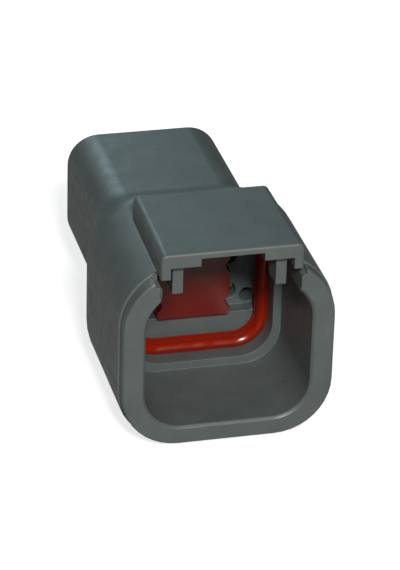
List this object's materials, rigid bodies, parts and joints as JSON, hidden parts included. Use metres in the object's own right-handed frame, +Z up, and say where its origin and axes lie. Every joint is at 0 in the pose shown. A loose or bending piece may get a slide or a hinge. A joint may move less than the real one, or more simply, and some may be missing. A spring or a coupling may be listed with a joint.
{
  "type": "sealed rectangular multi-way automotive connector half",
  "caption": "Rectangular hooded sealed connector half with latch guard, wedge lock, ring seal, socket contacts and ribbed wire seal behind a snap-in retainer.",
  "frame": {"origin": "centre of the bottom of the bounding box: on the plane that the hood stands on, at half the width and half the overall length", "axes": "+X to the right seen from the mouth, +Y from the mouth to the wire end, +Z up towards the latch guard"},
  "size_m": [0.02, 0.0362, 0.0198],
  "materials": {
    "housing_plastic": "fine satin moulded gray",
    "lock_plastic": "smooth moulded orange red",
    "seal_silicone": "smooth glossy silicone",
    "retainer_plastic": "satin moulded gray",
    "contact_metal": "plated",
    "sleeve_steel": "drawn"
  },
  "bodies": {
    "shell": {"housing": "housing_plastic", "interface_seal": "seal_silicone", "wire_seal": "seal_silicone", "seal_retainer": "retainer_plastic", "contact_1": "contact_metal", "contact_2": "contact_metal", "contact_3": "contact_metal", "contact_4": "contact_metal", "contact_sleeve_1": "sleeve_steel", "contact_sleeve_2": "sleeve_steel", "contact_sleeve_3": "sleeve_steel", "contact_sleeve_4": "sleeve_steel"},
    "wedge": {"wedge_lock": "lock_plastic"}
  },
  "joints": [
    {"name": "wedge_slide", "type": "slide", "parent": "shell", "child": "wedge", "axis": [0, -1, 0], "range_m": [0, 0.003]}
  ]
}
